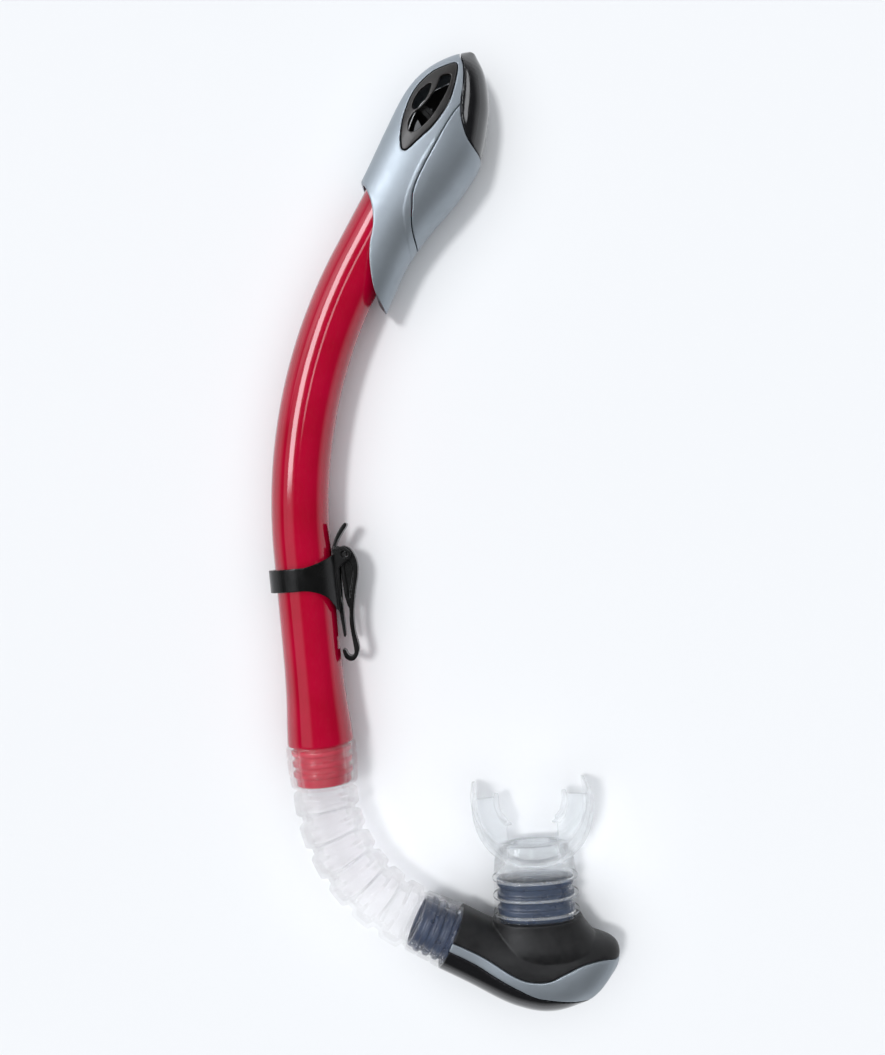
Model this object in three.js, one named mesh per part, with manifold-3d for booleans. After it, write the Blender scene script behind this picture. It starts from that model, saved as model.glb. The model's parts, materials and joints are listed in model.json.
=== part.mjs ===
// A dry-top snorkel lying on its side: curved barrel, dry top with float valve, mask keeper,
// flexible silicone hose, purge chamber and mouthpiece.
// Millimetres. +Z up, +Y along the snorkel towards its dry top, +X towards the mouthpiece.
// Everything is symmetrical about one level plane through the axis of the barrel.
import * as THREE from "three";
import { mergeVertices } from "three/addons/utils/BufferGeometryUtils.js";
import Module from "manifold-3d";

const wasm = await Module();
wasm.setup();

// ---------- driving dimensions ----------
const GAP = 0.3; // clearance between pieces that touch
const SIDES = 20; // corners of a round section

const BARREL = {
  radius: 13.5,
  bore: 10.6,
  bendRadius: 240, // of the centre line
  bendCentre: [172.9, 12.2],
  lowLean: -5.5, // degrees from +Y, of the straight lower end
  highLean: 28, // of the straight upper end
  lowStraight: 108.6, // with the spigot
  highStraight: 60,
  spigot: 18.5,
  spigotRadius: 12.6,
  flareRadius: 15.5,
  flareLength: 30,
};

const HOSE = {
  bendRadius: 73,
  turn: 59.9, // degrees
  ridges: 6,
  ridgeRadius: 15,
  valleyRadius: 12.7,
  bore: 10.6,
  upperCuffRadius: 16.6,
  lowerCuff: 18.2,
  lowerCuffRadius: 15.1,
  spigotRadius: 12.4,
};

const DRY_TOP = {
  wall: 2,
  top: 111,
  bottom: -16,
  pivot: [16.5, 66], // across, along
  openAngle: 25, // degrees
  seatRadius: 12.6,
};

const CHAMBER = {
  wall: 2,
  length: 75.8,
  coverCut: 0.15, // half the joint between two shells
  portRadius: 9,
  portHole: 5.6,
  valveRadius: 6.7,
  portAt: 44, // along the chamber
};

const MOUTH = {
  lean: 3.2, // degrees from +Y
  rimAt: [32.9, 25.6], // centre of the neck's lower rim, in the chamber's own axes
  halfWidth: 19.9,
  halfHeight: 13.2,
  wall: 2.1,
  neck: 27,
  archWidth: 28.2,
  archTop: 61,
  archCentre: 55,
  shieldHeight: 16,
};

const KEEPER = {
  below: 13.5, // from the end of the barrel's bend
  bandInner: 13.9,
  bandOuter: 16.4,
  bandReach: [-4.6, 6.4], // along the barrel
  pin: [19.9, 10.7],
  leverThick: 7,
  earThick: 2.2,
};

const COLOURS = {
  crimson: { color: 0xb4002c, roughness: 0.2, metalness: 0 },
  silver: { color: 0x94a5b2, roughness: 0.35, metalness: 0.7 },
  blackGloss: { color: 0x0a0a0c, roughness: 0.12, metalness: 0 },
  blackMatt: { color: 0x17171a, roughness: 0.6, metalness: 0 },
  bezel: { color: 0x3a3838, roughness: 0.4, metalness: 0 },
  clear: { color: 0xdde4e8, roughness: 0.25, metalness: 0 },
  navy: { color: 0x24384c, roughness: 0.4, metalness: 0 },
  steel: { color: 0xb8bcc0, roughness: 0.3, metalness: 1 },
};

const rad = THREE.MathUtils.degToRad;

// ---------- solids ----------
function toSolid(geometry) {
  const bare = new THREE.BufferGeometry();
  bare.setAttribute("position", geometry.getAttribute("position"));
  if (geometry.index) bare.setIndex(geometry.index);
  const merged = mergeVertices(bare, 1e-4);
  return new wasm.Manifold(
    new wasm.Mesh({
      numProp: 3,
      vertProperties: merged.attributes.position.array,
      triVerts: new Uint32Array(merged.index.array),
    }),
  );
}

function toGeometry(solid) {
  const mesh = solid.getMesh();
  const geometry = new THREE.BufferGeometry();
  geometry.setAttribute("position", new THREE.BufferAttribute(mesh.vertProperties, 3));
  geometry.setIndex(new THREE.BufferAttribute(mesh.triVerts, 1));
  geometry.computeVertexNormals();
  return geometry;
}

function piece(name, solid, finish) {
  const mesh = new THREE.Mesh(toGeometry(solid), new THREE.MeshStandardMaterial(COLOURS[finish]));
  mesh.name = name;
  return mesh;
}

// Skins a row of rings that all have the same number of points, and closes both ends.
// Each ring turns right-handed about the way that the row runs.
function loft(rings) {
  const count = rings[0].length;
  const points = rings.flat();
  const faces = [];
  for (let r = 0; r < rings.length - 1; r++) {
    for (let i = 0; i < count; i++) {
      const a = r * count + i;
      const b = r * count + ((i + 1) % count);
      faces.push(a, b, b + count, a, b + count, a + count);
    }
  }
  const closeEnd = (ring, start, outwards) => {
    const middle = ring.reduce((sum, p) => sum.add(p), new THREE.Vector3());
    points.push(middle.divideScalar(count));
    for (let i = 0; i < count; i++) {
      const corners = [start + i, start + ((i + 1) % count)];
      if (!outwards) corners.reverse();
      faces.push(...corners, points.length - 1);
    }
  };
  closeEnd(rings[0], 0, false);
  closeEnd(rings.at(-1), (rings.length - 1) * count, true);
  const geometry = new THREE.BufferGeometry().setFromPoints(points);
  geometry.setIndex(faces);
  return toSolid(geometry);
}

// A flat outline drawn in X and Y, made solid between two heights.
function prism(outline, low, high) {
  const shape = Array.isArray(outline)
    ? new THREE.Shape(outline.map(([x, y]) => new THREE.Vector2(x, y)))
    : outline;
  const geometry = new THREE.ExtrudeGeometry(shape, {
    depth: high - low,
    bevelEnabled: false,
    curveSegments: 10,
  });
  return toSolid(geometry.translate(0, 0, low));
}

function box(x0, x1, y0, y1, z0, z1) {
  const geometry = new THREE.BoxGeometry(x1 - x0, y1 - y0, z1 - z0);
  return toSolid(geometry.translate((x0 + x1) / 2, (y0 + y1) / 2, (z0 + z1) / 2));
}

// A cylinder along Z, or along Y when axis is "y", or along X when axis is "x".
function cylinder(radius, low, high, axis = "z", sides = SIDES) {
  const geometry = new THREE.CylinderGeometry(radius, radius, high - low, sides);
  geometry.translate(0, (low + high) / 2, 0);
  if (axis === "z") geometry.rotateX(Math.PI / 2);
  if (axis === "x") geometry.rotateZ(-Math.PI / 2);
  return toSolid(geometry);
}

const CIRCLE = Array.from({ length: SIDES }, (_, i) => (i * 2 * Math.PI) / SIDES);

// A smooth value read from a few [station, value] pairs.
function graph(pairs) {
  return (at) => {
    const last = pairs.length - 1;
    if (at <= pairs[0][0]) return pairs[0][1];
    if (at >= pairs[last][0]) return pairs[last][1];
    const i = pairs.findIndex(([station]) => station > at) - 1;
    const slope = (k) => {
      const [before, after] = [pairs[Math.max(k - 1, 0)], pairs[Math.min(k + 1, last)]];
      return (after[1] - before[1]) / (after[0] - before[0]);
    };
    const span = pairs[i + 1][0] - pairs[i][0];
    const t = (at - pairs[i][0]) / span;
    const ease = t * t * (3 - 2 * t);
    return (
      pairs[i][1] * (1 - ease) +
      pairs[i + 1][1] * ease +
      slope(i) * span * t * (1 - t) ** 2 -
      slope(i + 1) * span * t * t * (1 - t)
    );
  };
}

// ---------- centre lines ----------
// A place on a centre line: where it is, and its lean clockwise from +Y.
function stepFrom(frame, distance) {
  const lean = rad(frame.lean);
  return {
    x: frame.x + Math.sin(lean) * distance,
    y: frame.y + Math.cos(lean) * distance,
    lean: frame.lean,
  };
}

function barrelBend(lean) {
  const [x, y] = BARREL.bendCentre;
  return {
    x: x - BARREL.bendRadius * Math.cos(rad(lean)),
    y: y + BARREL.bendRadius * Math.sin(rad(lean)),
    lean,
  };
}

const BEND_START = barrelBend(BARREL.lowLean);
const BEND_END = barrelBend(BARREL.highLean);
const BEND_LENGTH = BARREL.bendRadius * rad(BARREL.highLean - BARREL.lowLean);
const BARREL_LENGTH = BARREL.lowStraight + BEND_LENGTH + BARREL.highStraight;

// Measured up the barrel from the end of its spigot.
function barrelFrame(at) {
  const bend = at - BARREL.lowStraight;
  if (bend <= 0) return stepFrom(BEND_START, bend);
  if (bend >= BEND_LENGTH) return stepFrom(BEND_END, bend - BEND_LENGTH);
  return barrelBend(BARREL.lowLean + THREE.MathUtils.radToDeg(bend / BARREL.bendRadius));
}

const HOSE_TOP = { ...barrelFrame(-1.5), lean: BARREL.lowLean + 180 };
const HOSE_LEAD = 3.5; // straight length before the bend
const HOSE_BEND_LENGTH = HOSE.bendRadius * rad(HOSE.turn);
const HOSE_LENGTH = HOSE_LEAD + HOSE_BEND_LENGTH;

// Measured down the hose from the lower end of its upper cuff.
function hoseFrame(at) {
  if (at <= HOSE_LEAD) return stepFrom(HOSE_TOP, at);
  const start = stepFrom(HOSE_TOP, HOSE_LEAD);
  const turned = Math.min((at - HOSE_LEAD) / HOSE.bendRadius, rad(HOSE.turn));
  const from = rad(start.lean);
  const bent = {
    x: start.x + HOSE.bendRadius * (Math.cos(from - turned) - Math.cos(from)),
    y: start.y - HOSE.bendRadius * (Math.sin(from - turned) - Math.sin(from)),
    lean: start.lean - THREE.MathUtils.radToDeg(turned),
  };
  return stepFrom(bent, Math.max(0, at - HOSE_LENGTH));
}

// A round bar along a centre line, from [station, radius] pairs.
function roundBar(frameAt, stations) {
  const rings = stations.map(([at, radius]) => {
    const { x, y, lean } = frameAt(at);
    const left = [-Math.cos(rad(lean)), Math.sin(rad(lean))];
    return CIRCLE.map((angle) => {
      const across = radius * Math.cos(angle);
      return new THREE.Vector3(
        x + left[0] * across,
        y + left[1] * across,
        radius * Math.sin(angle),
      );
    });
  });
  return loft(rings);
}

function evenly(from, to, steps) {
  return Array.from({ length: steps + 1 }, (_, i) => from + ((to - from) * i) / steps);
}

// ---------- barrel ----------
function barrel() {
  const { spigot, spigotRadius, radius, flareRadius, flareLength, bore } = BARREL;
  const ribs = [4, 9, 14].flatMap((at) => [
    [at, spigotRadius - 0.6],
    [at + 0.5, spigotRadius],
    [at + 2.5, spigotRadius],
    [at + 3, spigotRadius - 0.6],
  ]);
  const bend = evenly(BARREL.lowStraight, BARREL.lowStraight + BEND_LENGTH, 10);
  const outside = [
    [0, spigotRadius - 0.8],
    ...ribs,
    [spigot, spigotRadius - 0.6],
    [spigot + 0.2, flareRadius],
    [spigot + 6, flareRadius - 0.1],
    [spigot + flareLength, radius],
    ...bend.map((at) => [at, radius]),
    [BARREL_LENGTH, radius],
  ];
  const inside = [
    [-5, bore],
    ...bend.map((at) => [at, bore]),
    [BARREL_LENGTH + 5, bore],
  ];
  return roundBar(barrelFrame, outside).subtract(roundBar(barrelFrame, inside));
}

// ---------- flexible hose ----------
function flexHose() {
  const pitch = HOSE_LENGTH / HOSE.ridges;
  const ridges = evenly(0, HOSE.ridges - 1, HOSE.ridges - 1).flatMap((i) => [
    [(i + 0.08) * pitch, HOSE.valleyRadius],
    [(i + 0.2) * pitch, HOSE.ridgeRadius],
    [(i + 0.72) * pitch, HOSE.ridgeRadius],
    [(i + 0.86) * pitch, HOSE.valleyRadius],
  ]);
  const top = -1.5 - (BARREL.spigot - GAP);
  const end = HOSE_LENGTH + HOSE.lowerCuff - GAP;
  const outside = [
    [top, HOSE.upperCuffRadius],
    [top + 10, HOSE.upperCuffRadius],
    [-1, HOSE.upperCuffRadius - 1],
    [0, HOSE.valleyRadius],
    ...ridges,
    [HOSE_LENGTH, 13.6],
    [end - 2, HOSE.lowerCuffRadius],
    [end, HOSE.lowerCuffRadius],
  ];
  const inside = [
    [top - 5, BARREL.spigotRadius + GAP],
    [-1.2, BARREL.spigotRadius + GAP],
    [-1, HOSE.bore],
    ...evenly(HOSE_LEAD, HOSE_LENGTH - 1, 8).map((at) => [at, HOSE.bore]),
    [HOSE_LENGTH, HOSE.spigotRadius - 1.4],
    [HOSE_LENGTH + 0.4, HOSE.spigotRadius + GAP],
    [end + 5, HOSE.spigotRadius + GAP],
  ];
  return roundBar(hoseFrame, outside).subtract(roundBar(hoseFrame, inside));
}

// ---------- dry top, in its own axes: X across to the right, Y along the barrel's upper end ----------
const topLeft = graph([[-16, -16.3], [33, -16.8], [60, -18], [76, -18.4], [86, -17.2], [95, -13.9],
  [103, -8.8], [108, -4.6], [111, -1.2]]);
const topRight = graph([[-16, 22.2], [7, 20.5], [20, 21], [31, 22.9], [43, 25.7], [55, 27.6],
  [67, 28.1], [86, 22.4], [95, 18], [105, 10.4], [111, 2.6]]);
const topHalf = graph([[-16, 15.6], [7, 16.5], [30, 18], [58, 19.5], [78, 18.4], [92, 15],
  [103, 10], [111, 3]]);
const FULLNESS = 0.86; // below 1 the sections are squarer than an ellipse

const swell = (value) => Math.sign(value) * Math.abs(value) ** FULLNESS;

// One ring of the dry top or of the mouthpiece's neck, across the Y axis.
function crossRing(y, left, right, half) {
  return CIRCLE.map((angle) => {
    const x = (left + right) / 2 + ((right - left) / 2) * swell(Math.sin(angle));
    return new THREE.Vector3(x, y, half * swell(Math.cos(angle)));
  });
}

function dryTopForm(inset, from = DRY_TOP.bottom) {
  const stations = [from, ...evenly(4, 84, 6), 91, 97, 103, 107.5, DRY_TOP.top];
  return loft(
    stations.map((y) =>
      crossRing(y - (y > 84 ? inset * ((y - 84) / 27) : 0), topLeft(y) + inset, topRight(y) - inset,
        topHalf(y) - inset),
    ),
  );
}

function smoothLine(points, count) {
  const line = new THREE.SplineCurve(points.map(([x, y]) => new THREE.Vector2(x, y)));
  return line.getPoints(count).map((p) => [p.x, p.y]);
}

function smoothLoop(points, count) {
  const loop = new THREE.CatmullRomCurve3(points.map(([x, y]) => new THREE.Vector3(x, y, 0)), true);
  return loop.getPoints(count).slice(0, -1).map((p) => [p.x, p.y]);
}

const shifted = (outline, dx, dy) => outline.map(([x, y]) => [x + dx, y + dy]);

// Grows or shrinks a closed outline about its middle by about the given distance.
function resized(outline, by) {
  const share = 1 / outline.length;
  const middle = outline.reduce(([a, b], [x, y]) => [a + x * share, b + y * share], [0, 0]);
  return outline.map(([x, y]) => {
    const away = Math.hypot(x - middle[0], y - middle[1]);
    const scale = 1 + by / away;
    return [middle[0] + (x - middle[0]) * scale, middle[1] + (y - middle[1]) * scale];
  });
}

const OUT = 60; // further out than any piece
const SCOOP_EDGE = smoothLine([[-16.8, 33], [-10.8, 28.8], [-4.5, 22.7], [0, 15.3], [2.6, 7.3],
  [7.2, -1.4], [14.2, -10.2], [21.4, -14.9]], 12);
const CAP_EDGE = smoothLine([[-5.5, 113], [-3, 106.3], [1.8, 100.4], [6.1, 92.1], [8.6, 85.4],
  [12.4, 77.8], [18.5, 71.4], [24, 69], [31, 68.2]], 12);
const REAR_SEAM = smoothLine([[14, 100], [9.1, 79.2], [8.3, 58.1], [8.8, 39.7], [12.1, 30.6],
  [15.9, 23.4], [20, 19], [26, 15]], 12);
const WINDOW = smoothLoop([[-3, 99.2], [-9.9, 90], [-12.7, 78], [-11, 67], [-7.6, 57.7], [-4.4, 52.2],
  [-2.4, 52.2], [0.6, 59.8], [3.3, 68.2], [4.3, 79.7], [2, 90.6], [-1.4, 98]], 20);
const WINDOW_SLIM = smoothLoop([[-4.6, 93.6], [-8.9, 85], [-10.2, 76], [-7.6, 78.6], [-5, 86]], 10);
const WINDOW_WIDE = smoothLoop([[0.6, 87], [-3.4, 81.5], [-6, 73.5], [-7.2, 65.2], [-4.6, 60.4],
  [-1.4, 63.6], [0.8, 71], [1.9, 80]], 12);

const capSide = (gap) => [...shifted(CAP_EDGE, -gap, -gap), [OUT, 68], [OUT, 140], [-5.5, 140]];
const rearSide = (gap) => [...shifted(REAR_SEAM, -gap, -gap), [OUT, 15], [OUT, 100]];

function dryTopShell() {
  const { wall, bottom } = DRY_TOP;
  const cutaway = prism([[-OUT, 33], ...SCOOP_EDGE, [OUT, -14.9], [OUT, -OUT], [-OUT, -OUT]], -OUT, OUT);
  return dryTopForm(0).subtract(dryTopForm(wall, bottom - 10)).subtract(cutaway);
}

function dryTopPieces() {
  const shell = dryTopShell();
  const cap = prism(capSide(0), -OUT, OUT);
  const capWithGap = prism(capSide(GAP), -OUT, OUT);
  const rear = prism(rearSide(0), -OUT, OUT);
  const rearWithGap = prism(rearSide(GAP), -OUT, OUT);
  const openings = prism(WINDOW_SLIM, -OUT, OUT).add(prism(WINDOW_WIDE, -OUT, OUT));
  const bezel = (low, high) =>
    shell.intersect(prism(WINDOW, low, high)).subtract(openings);
  return [
    piece("dry_top_cover",
      shell.subtract(capWithGap).subtract(rearWithGap).subtract(prism(resized(WINDOW, GAP), -OUT, OUT)),
      "silver"),
    piece("dry_top_rear_cover", shell.intersect(rear).subtract(capWithGap), "silver"),
    piece("dry_top_cap", shell.intersect(cap), "blackGloss"),
    piece("window_bezel_front", bezel(0, OUT), "bezel"),
    piece("window_bezel_back", bezel(-OUT, 0), "bezel"),
  ];
}

function dryTopBase() {
  const [pivotX, pivotY] = DRY_TOP.pivot;
  const deckTop = BARREL.highStraight;
  const around = BARREL.radius + GAP;
  const deck = dryTopForm(DRY_TOP.wall + GAP, 0)
    .intersect(box(-OUT, OUT, deckTop - 2.5, deckTop, -OUT, OUT));
  const collar = cylinder(around + 0.9, 38, deckTop - 1, "y", 32);
  const ear = (low, high) => box(pivotX - 2.4, pivotX + 2.4, deckTop - 1, pivotY + 3.2, low, high);
  return deck
    .add(collar)
    .add(ear(6.2, 8.8))
    .add(ear(-8.8, -6.2))
    .subtract(cylinder(around, 0, OUT * 2, "y", 32))
    .subtract(box(pivotX + 2.7, OUT, 50, 62, -3.6, 3.6))
    .subtract(cylinder(1.6, -OUT, OUT).translate([pivotX, pivotY, 0]));
}

function valveSeat() {
  const low = BARREL.highStraight + GAP;
  return cylinder(DRY_TOP.seatRadius, low, low + 2.3, "y").subtract(cylinder(9, 0, OUT * 2, "y"));
}

// Drawn closed, about its pin.
function valveArm() {
  const seatAt = -DRY_TOP.pivot[0];
  return cylinder(11.4, -0.9, 0.9, "y")
    .translate([seatAt, 0, 0])
    .add(box(-8, 0, -0.9, 0.9, -5, 5))
    .add(cylinder(3, -5.7, 5.7))
    .add(box(0, 6.4, -1, 0.8, -2.6, 2.6))
    .subtract(cylinder(1.6, -OUT, OUT));
}

const valveSeal = () => cylinder(11.7, -3.1, -1.2, "y").translate([-DRY_TOP.pivot[0], 0, 0]);

function float() {
  const [pivotX, pivotY] = DRY_TOP.pivot;
  const floatTop = 54;
  const stem = box(pivotX + 3.6, pivotX + 7.4, floatTop - 1, pivotY - 4.5, -2.8, 2.8);
  return dryTopForm(DRY_TOP.wall + 1.1, 0)
    .intersect(box(0, OUT, 22, floatTop, -9, 9))
    .subtract(cylinder(BARREL.radius + 1.9, 0, OUT * 2, "y", 32))
    .add(stem);
}

function dryTop() {
  const group = new THREE.Group();
  group.position.set(BEND_END.x, BEND_END.y, 0);
  group.rotation.z = -rad(BARREL.highLean);
  const pin = piece("arm_pin", cylinder(1.3, -9.4, 9.4), "steel");
  pin.position.set(...DRY_TOP.pivot, 0);
  const rocker = new THREE.Group();
  rocker.position.set(...DRY_TOP.pivot, 0);
  rocker.rotation.z = -rad(DRY_TOP.openAngle);
  rocker.add(piece("valve_arm", valveArm(), "navy"), piece("valve_seal", valveSeal(), "clear"));
  group.add(
    ...dryTopPieces(),
    piece("dry_top_base", dryTopBase(), "blackMatt"),
    piece("valve_seat", valveSeat(), "navy"),
    pin,
    rocker,
    piece("float", float(), "bezel"),
  );
  return group;
}

// ---------- mask keeper, in its own axes: X to the right of the barrel, Y up it ----------
function keeperRing() {
  const { bandInner, bandOuter, bandReach, pin, leverThick, earThick } = KEEPER;
  const slot = leverThick / 2 + GAP;
  const outer = slot + earThick;
  const block = prism([[12, 5.2], [14.6, 9.6], [14.3, 13.6], [16.4, 14.4], [19.9, 14.3], [22.9, 11.6],
    [22.6, 8.6], [19.8, 6.9], [17, 4.6], [16.4, -5], [16.2, -11], [14.6, -13.5], [13.2, -9.8],
    [12, -5.2]], -outer, outer);
  const prong = prism([[14.3, -9], [16.2, -9.4], [16.66, -12], [17, -27.6], [15.6, -27.9]], -3, 3);
  const tab = prism([[14.2, 12], [14.3, 16.6], [21.2, 25.2], [22.8, 24.1], [15.7, 15.8], [15.6, 12]],
    -4.5, 4.5);
  return cylinder(bandOuter, ...bandReach, "y", 32)
    .add(block)
    .subtract(box(15.7, OUT, -30, 15.6, -slot, slot))
    .add(prong)
    .add(tab)
    .subtract(cylinder(bandInner, -OUT, OUT, "y", 32))
    .subtract(cylinder(1.4, -OUT, OUT).translate([...pin, 0]));
}

// Drawn about its pin.
function keeperLever() {
  const { pin, leverThick } = KEEPER;
  const outline = [[17.4, 12.9], [18.4, 14.2], [19.9, 14.6], [23, 12.5], [25.2, 7], [25, 0.6],
    [23.3, -6.3], [21.9, -13.7], [21.3, -19.3], [21.4, -26.4], [22.5, -33], [21.6, -36.8],
    [19.8, -39], [17.6, -39.2], [15.4, -37.4], [14.7, -33.4], [16.3, -34.1], [17.2, -36.3],
    [18.6, -37], [20, -35.7], [20, -32.5], [19.4, -26], [19.2, -20.6], [19.6, -15.4], [18.8, -12.4],
    [18, -8.2], [17.6, 0], [17.4, 7.6]];
  return prism(shifted(outline, -pin[0], -pin[1]), -leverThick / 2, leverThick / 2)
    .subtract(cylinder(1.4, -OUT, OUT));
}

function keeper() {
  const { below, pin, leverThick, earThick } = KEEPER;
  const group = new THREE.Group();
  const place = stepFrom(BEND_START, -below);
  group.position.set(place.x, place.y, 0);
  group.rotation.z = -rad(BARREL.lowLean);
  const lever = piece("keeper_lever", keeperLever(), "blackMatt");
  lever.position.set(...pin, 0);
  const reach = leverThick / 2 + GAP + earThick;
  const axle = piece("keeper_pin", cylinder(1.1, -reach, reach), "steel");
  axle.position.set(...pin, 0);
  group.add(piece("keeper_ring", keeperRing(), "blackMatt"), lever, axle);
  return group;
}

// ---------- purge chamber, in its own axes: X along it from the hose, Y up ----------
const chamberTop = graph([[0, 15], [16, 14.6], [30, 17], [40, 19], [50, 24], [58, 29], [65, 30.4],
  [70, 30.6], [73.4, 29], [75.8, 24.5]]);
const chamberBottom = graph([[0, -15], [16, -15.2], [32, -15.7], [40, -15.2], [50, -13.2], [58, -9.4],
  [65, -3.6], [70.3, 1.5], [73.6, 8.5], [75.8, 16]]);
const chamberHalf = graph([[0, 15], [16, 15.8], [32, 18.4], [48, 19.6], [58, 19], [66, 16.4],
  [72, 11.5], [75.8, 4]]);
const TRIM_TOP = smoothLine([[-5, 1.6], [6.7, 2.1], [17.4, 1.9], [28, 1], [35, 1], [41, 2.7],
  [46.7, 6], [51.3, 11.3], [58.4, 18.8], [66.9, 23.6], [75, 25], [85, 25.5]], 14);
const TRIM_BOTTOM = smoothLine([[-5, -2.3], [12.3, -2.4], [23.3, -3.4], [33.9, -3.8], [44.3, -3.6],
  [50.6, -1.9], [60.3, 0.8], [68.8, 3.2], [85, 6.6]], 11);

function chamberForm(inset, from = 0) {
  const stations = [from, 14, 28, 40, 48, 55, 61, 66, 70, 73.4, CHAMBER.length];
  const rings = stations.map((x) => {
    const high = chamberTop(x) - inset;
    const low = chamberBottom(x) + inset;
    const half = chamberHalf(x) - inset;
    const pulled = x > 60 ? inset * ((x - 60) / (CHAMBER.length - 60)) : 0;
    return CIRCLE.map((angle) => {
      const y = (high + low) / 2 + ((high - low) / 2) * swell(Math.cos(angle));
      return new THREE.Vector3(x - pulled, y, half * swell(Math.sin(angle)));
    });
  });
  return loft(rings);
}

const MOUTH_TURN = MOUTH.lean + BARREL.lowLean + 180 - HOSE.turn - 90; // from the chamber's Y

const toMouth = (solid) => solid.rotate([0, 0, MOUTH_TURN]).translate([...MOUTH.rimAt, 0]);

function ovalBar(stations) {
  return loft(stations.map(([y, left, right, half]) => crossRing(y, -left, right, half)));
}

function chamberSkirt() {
  return toMouth(
    ovalBar([[-18, 21, 30.4, 17], [-14, 23, 30.9, 18], [-11, 23, 28.1, 17.6], [-7, 22.4, 24.9, 16.2],
      [-3, 21.4, 22.1, 14.9], [-GAP, 20.8, 20.8, 14.3]]),
  );
}

function straightOval(width, height, low, high) {
  return toMouth(ovalBar([[low, width, width, height], [high, width, width, height]]));
}

function chamberShells() {
  const { halfWidth, halfHeight, wall } = MOUTH;
  const boreWidth = halfWidth - wall;
  const boreHeight = halfHeight - wall;
  const shell = chamberForm(0)
    .add(chamberSkirt())
    .subtract(chamberForm(CHAMBER.wall, -6))
    .subtract(straightOval(boreWidth, boreHeight, -18, 10));
  const above = (gap) => [...shifted(TRIM_TOP, 0, gap), [85, OUT], [-5, OUT]];
  const below = (gap) => [...shifted(TRIM_BOTTOM, 0, -gap), [85, -OUT], [-5, -OUT]];
  const cut = CHAMBER.coverCut;
  const slots = [-5, 0, 5].map((z) => box(37, 49, -30, -8, z - 1.1, z + 1.1));
  const bottom = shell.intersect(prism(below(cut), -OUT, OUT));
  const keel = slots.reduce((solid, slot) => solid.subtract(slot), bottom);
  return [
    piece("chamber_cover", shell.intersect(prism(above(cut), -OUT, OUT)), "blackMatt"),
    piece("chamber_trim",
      shell.subtract(prism(above(-cut), -OUT, OUT)).subtract(prism(below(-cut), -OUT, OUT)), "silver"),
    piece("purge_cover", keel, "blackGloss"),
  ];
}

// The inner body's underside is raised over the purge valve.
const RECESS = [[20, -OUT], [20, -16], [29, -7], [32, -5.4], [56, -5.4], [59, -7], [66, -16],
  [66, -OUT]];

function chamberBody() {
  const { wall, portHole, portAt } = CHAMBER;
  const { halfWidth, halfHeight } = MOUTH;
  const out = wall + GAP;
  const skin = 1.8;
  const spigotWidth = halfWidth - MOUTH.wall - GAP;
  const spigotHeight = halfHeight - MOUTH.wall - GAP;
  const recess = (rise) => prism(shifted(RECESS, 0, rise), -OUT, OUT);
  const hull = chamberForm(out)
    .subtract(recess(0))
    .add(cylinder(HOSE.spigotRadius, -17, 1, "x"))
    .add(straightOval(spigotWidth, spigotHeight, -18, 18));
  const cavity = chamberForm(out + skin).subtract(recess(skin));
  return hull
    .subtract(cavity)
    .subtract(cylinder(10.3, -20, 2, "x"))
    .subtract(straightOval(spigotWidth - 2, spigotHeight - 2, -18, 20))
    .subtract(cylinder(portHole, -20, 0, "y").translate([portAt, 0, 0]));
}

function purgeSeat() {
  const { portRadius, portHole, portAt } = CHAMBER;
  const [low, high] = [-7.3, -5.7];
  const spoke = (x, z) => box(-x, x, low, high, -z, z);
  return cylinder(portRadius, low, high, "y")
    .subtract(cylinder(portHole, -OUT, OUT, "y"))
    .add(spoke(portHole + 1, 0.8))
    .add(spoke(0.8, portHole + 1))
    .add(cylinder(2.4, low, high, "y"))
    .subtract(cylinder(1.4, -OUT, OUT, "y"))
    .translate([portAt, 0, 0]);
}

const purgeValve = () =>
  cylinder(CHAMBER.valveRadius, -8.7, -7.6, "y")
    .add(cylinder(1, -8.4, -3.6, "y"))
    .translate([CHAMBER.portAt, 0, 0]);

// ---------- mouthpiece, in its own axes: Y towards the mouth, X across it ----------
function arch(width, depth) {
  const steps = 12;
  return evenly(0, Math.PI, steps).map((angle) => [
    -width * Math.sign(Math.cos(angle)) * Math.abs(Math.cos(angle)) ** 0.9,
    MOUTH.archCentre - depth * Math.sin(angle) ** 0.9,
  ]);
}

function band(outer, inner, top) {
  return [[outer[0][0] * 0.95, top], ...outer, [outer.at(-1)[0] * 0.95, top],
    [inner.at(-1)[0], top], ...inner.toReversed(), [inner[0][0], top]];
}

function mouthpiece() {
  const { halfWidth, halfHeight, wall, neck, archWidth, archTop, shieldHeight } = MOUTH;
  const outer = arch(archWidth, archWidth);
  const inner = arch(archWidth - 2.4, archWidth - 2.4);
  const shield = prism(band(outer, inner, archTop), -shieldHeight, shieldHeight);
  const bite = arch(15.2, 14.6);
  const wings = prism(band(inner.map(([x, y]) => [x * 1.02, y - 0.4]), bite, 55.4), -1.5, 1.5);
  const nibs = [-1, 1].map((side) => {
    const [from, to] = [side * 15.2, side * 17.8].sort((a, b) => a - b);
    return box(from, to, 44, 55.4, -4.5, 4.5);
  });
  const outside = ovalBar([[0, halfWidth, halfWidth, halfHeight], [neck - 9, halfWidth - 0.4,
    halfWidth - 0.4, halfHeight - 0.3], [neck + 4, 18, 18, 11.5]]);
  const bore = ovalBar([[-2, halfWidth - wall, halfWidth - wall, halfHeight - wall],
    [neck - 8, halfWidth - wall, halfWidth - wall, halfHeight - wall], [neck + 1, 12.5, 12.5, 6.6],
    [neck + 14, 12, 12, 6.4]]);
  return shield.add(wings).add(nibs[0]).add(nibs[1]).add(outside).subtract(bore);
}

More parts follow.
